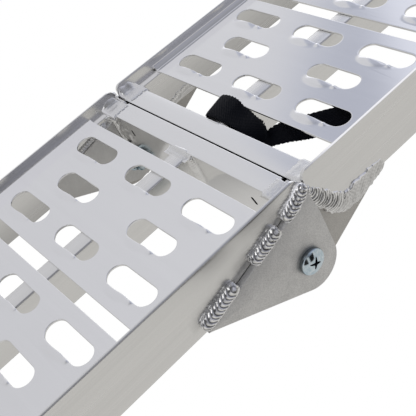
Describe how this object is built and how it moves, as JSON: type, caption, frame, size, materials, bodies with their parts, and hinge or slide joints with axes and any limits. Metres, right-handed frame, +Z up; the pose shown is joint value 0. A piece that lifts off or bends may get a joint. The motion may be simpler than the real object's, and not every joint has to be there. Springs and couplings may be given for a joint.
{
  "type": "folding loading ramp",
  "caption": "Folding aluminium loading ramp: two punched-tread ladder sections on box side rails, joined by bolted clevis hinges, with a safety strap.",
  "frame": {"origin": "centre of the top face of the lower hinge crossbar, which lies in the deck surface next to the hinge seam", "axes": "+X across the ramp towards the right rail, +Y along the ramp towards the upper section, +Z up out of the lower section's deck"},
  "size_m": [0.3054, 2.3363, 0.107],
  "materials": {
    "mill_aluminium": "extruded mill finish with lengthwise streaks",
    "tread_aluminium": "satin sheet, slightly brushed",
    "leaf_aluminium": "matte plate",
    "zinc_steel": "bright blue zinc plating",
    "rubber": "matte black rubber",
    "webbing": "black woven polyester webbing"
  },
  "bodies": {
    "lower_section": {"centre_stringer_lower": "mill_aluminium", "ground_end_crossbar": "tread_aluminium", "ground_foot_plate": "tread_aluminium", "ground_pad_left": "rubber", "ground_pad_right": "rubber", "hinge_bolt_left": "zinc_steel", "hinge_bolt_right": "zinc_steel", "hinge_crossbar_lower": "tread_aluminium", "hinge_leaf_inner_left": "leaf_aluminium", "hinge_leaf_inner_right": "leaf_aluminium", "hinge_leaf_outer_left": "leaf_aluminium", "hinge_leaf_outer_right": "leaf_aluminium", "hinge_nut_left": "zinc_steel", "hinge_nut_right": "zinc_steel", "hinge_spacer_inner_left": "zinc_steel", "hinge_spacer_inner_right": "zinc_steel", "hinge_spacer_outer_left": "zinc_steel", "hinge_spacer_outer_right": "zinc_steel", "hinge_washer_left": "zinc_steel", "hinge_washer_right": "zinc_steel", "lower_rail_left": "mill_aluminium", "lower_rail_right": "mill_aluminium", "tread_panel_lower_1": "tread_aluminium", "tread_panel_lower_2": "tread_aluminium", "tread_panel_lower_3": "tread_aluminium", "tread_panel_lower_4": "tread_aluminium", "tread_panel_lower_5": "tread_aluminium", "tread_panel_lower_6": "tread_aluminium", "tread_panel_lower_7": "tread_aluminium"},
    "upper_section": {"centre_stringer_upper": "mill_aluminium", "hinge_crossbar_upper": "tread_aluminium", "hinge_leaf_upper_left": "leaf_aluminium", "hinge_leaf_upper_right": "leaf_aluminium", "safety_strap": "webbing", "tailgate_tongue": "tread_aluminium", "tongue_pad_left": "rubber", "tongue_pad_right": "rubber", "top_end_crossbar": "tread_aluminium", "tread_panel_upper_1": "tread_aluminium", "tread_panel_upper_2": "tread_aluminium", "tread_panel_upper_3": "tread_aluminium", "tread_panel_upper_4": "tread_aluminium", "tread_panel_upper_5": "tread_aluminium", "tread_panel_upper_6": "tread_aluminium", "tread_panel_upper_7": "tread_aluminium", "upper_rail_left": "mill_aluminium", "upper_rail_right": "mill_aluminium"}
  },
  "joints": [
    {"name": "fold_hinge", "type": "hinge", "parent": "lower_section", "child": "upper_section", "pos_m": [0, -0.01345, -0.062], "axis": [-1, 0, 0], "range_deg": [0, 178]}
  ]
}
